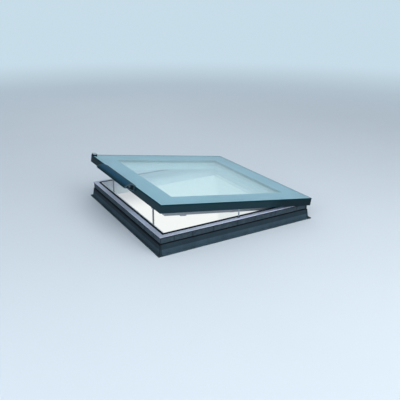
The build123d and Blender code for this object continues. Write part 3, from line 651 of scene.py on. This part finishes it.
def square_band(half, low, high, rim, thickness, side):
    """A thin band round a square, turned in at its top by a rim. Its wall grows outwards for side 1."""
    band = added(bpy.ops.mesh.primitive_plane_add, size=2 * half, location=(0, 0, low))
    bpy.ops.object.mode_set(mode="EDIT")
    bpy.ops.mesh.select_mode(type="EDGE")
    bpy.ops.mesh.select_all(action="SELECT")
    bpy.ops.mesh.delete(type="ONLY_FACE")
    bpy.ops.mesh.select_all(action="SELECT")
    bpy.ops.mesh.extrude_region_move(TRANSFORM_OT_translate={"value": (0, 0, high - low)})
    if rim:
        bpy.ops.mesh.extrude_region_move()
        share = 1 - rim / half
        bpy.ops.transform.resize(value=(share, share, 1.0))
    bpy.ops.mesh.select_all(action="SELECT")
    bpy.ops.mesh.normals_make_consistent(inside=False)
    bpy.ops.object.mode_set(mode="OBJECT")
    wall = band.modifiers.new("wall", "SOLIDIFY")
    wall.thickness = thickness
    wall.offset = side
    wall.use_even_offset = True
    apply_modifiers(band)
    return band


sealant = square_band(
    SASH_HALF,
    FRAME_TOP + PANE_UNDERSIDE,
    FRAME_TOP + PANE_TOP + SEALANT_LIFT,
    SEALANT_RIM,
    SEALANT_PROUD,
    1.0,
)
settle(sealant, "pane_edge_sealant", "sash", "sealant", open_with_sash=True)

# The enamel behind the edge of the outer pane, pressed a little into it, in place of its CAD node


def flat_ring(outer_half, inner_half, low, high):
    """A flat square ring between two heights."""
    ring = added(bpy.ops.mesh.primitive_plane_add, size=2 * outer_half, location=(0, 0, low))
    bpy.ops.object.mode_set(mode="EDIT")
    bpy.ops.mesh.select_mode(type="FACE")
    bpy.ops.mesh.select_all(action="SELECT")
    bpy.ops.mesh.inset(thickness=outer_half - inner_half)
    bpy.ops.mesh.delete(type="FACE")
    bpy.ops.mesh.select_all(action="SELECT")
    bpy.ops.mesh.extrude_region_move(TRANSFORM_OT_translate={"value": (0, 0, high - low)})
    bpy.ops.mesh.select_all(action="SELECT")
    bpy.ops.mesh.normals_make_consistent(inside=False)
    bpy.ops.object.mode_set(mode="OBJECT")
    return ring


PRESSED_IN = 0.0001
ENAMEL_OUTER = 0.5097
ENAMEL_INNER = 0.3850
ENAMEL_THICKNESS = 0.0005

pane_bed = FRAME_TOP + PANE_UNDERSIDE
print_ring = flat_ring(ENAMEL_OUTER, ENAMEL_INNER, pane_bed - ENAMEL_THICKNESS, pane_bed + PRESSED_IN)
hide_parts("enamel_border")
settle(print_ring, "enamel_print", "sash", "enamel", open_with_sash=True)

# A low lip round the underside of the sash's own section

LIP_HALF = 0.449
LIP_HEIGHT = 0.0035
LIP_WALL = 0.0030
SASH_UNDERSIDE = FRAME_TOP - 0.045

lip = square_band(LIP_HALF, SASH_UNDERSIDE - LIP_HEIGHT, SASH_UNDERSIDE, 0.0, LIP_WALL, -1.0)
settle(lip, "sash_lower_lip", "sash", "sash", open_with_sash=True)

# Two small blocks under the near side of the sash

BLOCK_Y = -0.4360
BLOCKS = {
    "catch_block": (-0.3310, (0.036, 0.016, 0.012)),
    "damper_block": (-0.0120, (0.030, 0.014, 0.008)),
}
BLOCK_EDGE = 0.0015

for name, (middle_x, size) in BLOCKS.items():
    middle = (middle_x, BLOCK_Y, SASH_UNDERSIDE - size[2] / 2)
    block = added(bpy.ops.mesh.primitive_cube_add, size=1.0, location=middle)
    block.scale = size
    bpy.ops.object.transform_apply(location=False, rotation=False, scale=True)
    bevelled(block, BLOCK_EDGE, 3)
    settle(block, name, "sash", "grey_plastic", open_with_sash=True)


# Pale plugs in the end caps of the solar module

PLUG_X = -0.54285
PLUG_Z = FRAME_TOP + 0.03325
PLUG_FACES = {"near": -0.1875, "far": 0.2475}
PLUG_RADIUS = 0.0060
PLUG_DEPTH = 0.0012
PLUG_EDGE = 0.3 * PLUG_DEPTH

for end, face_y in PLUG_FACES.items():
    plug = added(
        bpy.ops.mesh.primitive_cylinder_add,
        vertices=32,
        radius=PLUG_RADIUS,
        depth=PLUG_DEPTH,
        location=(PLUG_X, face_y, PLUG_Z),
        rotation=(math.radians(90), 0, 0),
    )
    bevelled(plug, PLUG_EDGE, 2)
    settle(plug, f"cap_plug_{end}", "sash", "plug_plastic", open_with_sash=True)


# Screw heads, one for each size, copied to their places

HEAD_HEIGHT = 0.0016
HEAD_EDGE = 0.25 * HEAD_HEIGHT
HEAD_SOCKET_DEPTH = 0.6 * HEAD_HEIGHT
HEAD_WALL_SHARE = 0.5


def screw_head(radius):
    """A low round head with a bevelled edge and a round socket, on the origin and facing up."""
    middle = (0, 0, HEAD_HEIGHT / 2)
    head = added(
        bpy.ops.mesh.primitive_cylinder_add, vertices=24, radius=radius, depth=HEAD_HEIGHT, location=middle
    )
    bpy.ops.object.mode_set(mode="EDIT")
    bpy.ops.mesh.select_mode(type="FACE")
    bpy.ops.mesh.select_all(action="DESELECT")
    bpy.ops.object.mode_set(mode="OBJECT")
    for face in head.data.polygons:
        face.select = face.normal.z > 0.9
    bpy.ops.object.mode_set(mode="EDIT")
    bpy.ops.mesh.inset(thickness=HEAD_WALL_SHARE * radius)
    bpy.ops.mesh.extrude_region_move(TRANSFORM_OT_translate={"value": (0, 0, -HEAD_SOCKET_DEPTH)})
    bpy.ops.object.mode_set(mode="OBJECT")
    bevelled(head, HEAD_EDGE, 2)
    return head


def place_heads(radius, stem, places, facing, body, material="steel"):
    """Copies one head to each place, turned to face a direction, each copy with its own mesh."""
    pattern = screw_head(radius)
    turn = Vector(facing).to_track_quat("Z", "Y").to_matrix().to_4x4()
    for number, place in enumerate(places, 1):
        head = pattern.copy()
        head.data = pattern.data.copy()
        bpy.context.scene.collection.objects.link(head)
        head.matrix_world = Matrix.Translation(place) @ turn
        settle(head, f"{stem}_{number}", body, material, open_with_sash=body == "sash")
    bpy.data.objects.remove(pattern)


NEAR_FAR = {"near": -1, "far": 1}
HEAD_RADIUS = {"leaf": 0.0040, "cover": 0.0022, "cap": 0.0025, "bracket": 0.0032, "skirt": 0.0050}
LEAF_TOP = 0.102
LEAF_SCREW_Y = (0.2977, 0.3623)
COVER_FACE_Y = 0.2843
COVER_SCREW_X = (-0.4485, -0.4122)
COVER_SCREW_Z = (0.0055, 0.0285)
CAP_FACE_Y = 0.125
CAP_SCREW_X = (-0.4470, -0.4090)
CAP_SCREW_Z = (0.0070, 0.0370)
BRACKET_UNDERSIDE = FRAME_TOP - 0.048
BRACKET_SCREW_X = (-0.4412, -0.4068)
BRACKET_SCREW_Y = (0.2802, 0.3052)

for end, way in NEAR_FAR.items():
    leaf_places = [(HINGE_X, way * y, LEAF_TOP) for y in LEAF_SCREW_Y]
    place_heads(HEAD_RADIUS["leaf"], f"leaf_screw_{end}", leaf_places, (0, 0, 1), "frame")
    cover_places = [(x, way * COVER_FACE_Y, z) for x in COVER_SCREW_X for z in COVER_SCREW_Z]
    place_heads(HEAD_RADIUS["cover"], f"cover_screw_{end}", cover_places, (0, -way, 0), "frame")
    cap_places = [(x, way * CAP_FACE_Y, z) for x in CAP_SCREW_X for z in CAP_SCREW_Z]
    place_heads(HEAD_RADIUS["cap"], f"cap_screw_{end}", cap_places, (0, way, 0), "frame")
    bracket_places = [(x, way * y, BRACKET_UNDERSIDE) for x in BRACKET_SCREW_X for y in BRACKET_SCREW_Y]
    place_heads(HEAD_RADIUS["bracket"], f"bracket_screw_{end}", bracket_places, (0, 0, -1), "sash")

SKIRT_SCREW = (-SASH_HALF, -0.200, FRAME_TOP + 0.019)
place_heads(
    HEAD_RADIUS["skirt"], "skirt_screw", [SKIRT_SCREW], (-1, 0, 0), "sash", "screw_black"
)


# Stage: pale floor, world and lamps

FLOOR_HALF = 40.0
PALE = rgb(0.57, 0.72, 0.81)
FADE_RADII = (2.5, 9.0)
# The lit room under the opening: its size, and the edges of the painted light and shade on it
ROOM_HALF = 0.452
ROOM_LIGHT_PATCH_EDGE = (0.150, 0.185)
ROOM_LIGHT_PATCH_SLANT = 0.6
DIM_Y = (0.12, 0.42)
DIM_X = (-0.25, -0.10)
SHADED_LINING_EDGE = 0.428
SHADOW_LINE_HALF = 0.003


def pale_floor():
    """Even pale floor that fades into the background far away, and the lit room under the opening, which
    glows and carries painted light and shade.
    """
    finish = Finish("pale_floor")
    cloud = finish.noise(1.5, 3.0)
    colour = finish.blend(cloud, rgb(0.66, 0.72, 0.76), rgb(0.69, 0.75, 0.79))
    ground = finish.surface(base=colour, roughness=0.9)
    # Painted light and shade on the room: a lit patch with a slanted edge
    turn = finish.step(finish.x - finish.y * ROOM_LIGHT_PATCH_SLANT, *ROOM_LIGHT_PATCH_EDGE)
    glow = finish.blend(turn, rgb(0.90, 0.935, 0.92), rgb(0.77, 0.83, 0.82))
    # Painted shade over the far part towards -x
    dim = finish.step(finish.y, *DIM_Y) * (1 - finish.step(finish.x, *DIM_X))
    glow = finish.blend(dim, glow, rgb(0.58, 0.615, 0.64))
    # Painted shade on a lining strip by the wall at +x, and a painted shadow line along its edge
    glow = finish.blend(finish.x > SHADED_LINING_EDGE, glow, rgb(0.70, 0.76, 0.76))
    glow = finish.blend((finish.x - SHADED_LINING_EDGE).within(SHADOW_LINE_HALF), glow, rgb(0.30, 0.36, 0.39))
    room = finish.add("Emission", {}, {"Color": glow, "Strength": 1.0})
    inside = finish.x.within(ROOM_HALF) * finish.y.within(ROOM_HALF)
    far = finish.add("Emission", {}, {"Color": PALE, "Strength": 1.0})
    radius = (finish.x * finish.x + finish.y * finish.y) ** 0.5
    return finish.output(finish.mix(finish.step(radius, *FADE_RADII), finish.mix(inside, ground, room), far))


floor = added(bpy.ops.mesh.primitive_plane_add, size=2 * FLOOR_HALF, location=(0, 0, 0))
floor.name = "floor"
floor.data.materials.append(pale_floor())


def studio_world():
    """Soft even light, and a pale background where it is seen, mirrored or looked at through glass."""
    world = bpy.data.worlds.new("studio")
    bpy.context.scene.world = world
    nodes = Nodes(world)
    path = nodes.add("LightPath")
    seen = path.out("Is Camera Ray") | path.out("Is Transmission Ray") | path.out("Is Glossy Ray")
    soft = nodes.add("Background", {}, {"Color": rgb(0.62, 0.68, 0.76), "Strength": 0.75})
    shown = nodes.add("Background", {}, {"Color": PALE, "Strength": 1.0})
    nodes.add("OutputWorld", {}, {"Surface": nodes.mix(seen, soft, shown)})


studio_world()


def area_lamp(name, place, aim, size, power, colour):
    data = bpy.data.lights.new(name, "AREA")
    data.shape = "SQUARE"
    data.size = size
    data.energy = power
    data.color = colour
    lamp = bpy.data.objects.new(name, data)
    bpy.context.scene.collection.objects.link(lamp)
    lamp.location = place
    lamp.rotation_euler = (Vector(aim) - Vector(place)).to_track_quat("-Z", "Y").to_euler()


area_lamp("key", (0.4, -2.2, 3.8), (0, 0, 0.1), 2.8, 48.0, (1.0, 0.99, 0.98))
area_lamp("fill", (-2.8, -1.8, 2.0), (0, 0, 0.1), 2.2, 32.0, (0.90, 0.95, 1.0))
area_lamp("low", (0.5, -3.2, 2.0), (0.1, 0, 0.1), 1.8, 30.0, (0.94, 0.97, 1.0))
area_lamp("back", (0.6, 3.4, 2.6), (0, 0, 0.2), 2.4, 12.0, (0.96, 0.98, 1.0))


# Camera at the photograph's angle

PHOTO_SIDE = 400
FOCAL_PIXELS = 509.05
SENSOR = 36.0
CAMERA_PLACE = Vector((-1.5376, -2.6371, 1.2387))
PAN, TILT, ROLL = math.radians(30.814), math.radians(21.27), math.radians(0.506)

forward = Vector((math.sin(PAN) * math.cos(TILT), math.cos(PAN) * math.cos(TILT), -math.sin(TILT)))
right = Vector((math.cos(PAN), -math.sin(PAN), 0.0))
up = right.cross(forward)
rolled_right = right * math.cos(ROLL) + up * math.sin(ROLL)
rolled_up = up * math.cos(ROLL) - right * math.sin(ROLL)
lens = bpy.data.cameras.new("camera")
lens.sensor_width = SENSOR
lens.lens = FOCAL_PIXELS / PHOTO_SIDE * SENSOR
lens.shift_y = -1 / PHOTO_SIDE
lens.clip_end = 200.0
camera = bpy.data.objects.new("camera", lens)
bpy.context.scene.collection.objects.link(camera)
turn = Matrix((rolled_right, rolled_up, -forward)).transposed()
camera.matrix_world = Matrix.Translation(CAMERA_PLACE) @ turn.to_4x4()
bpy.context.scene.camera = camera
bpy.context.scene.view_settings.view_transform = "Standard"
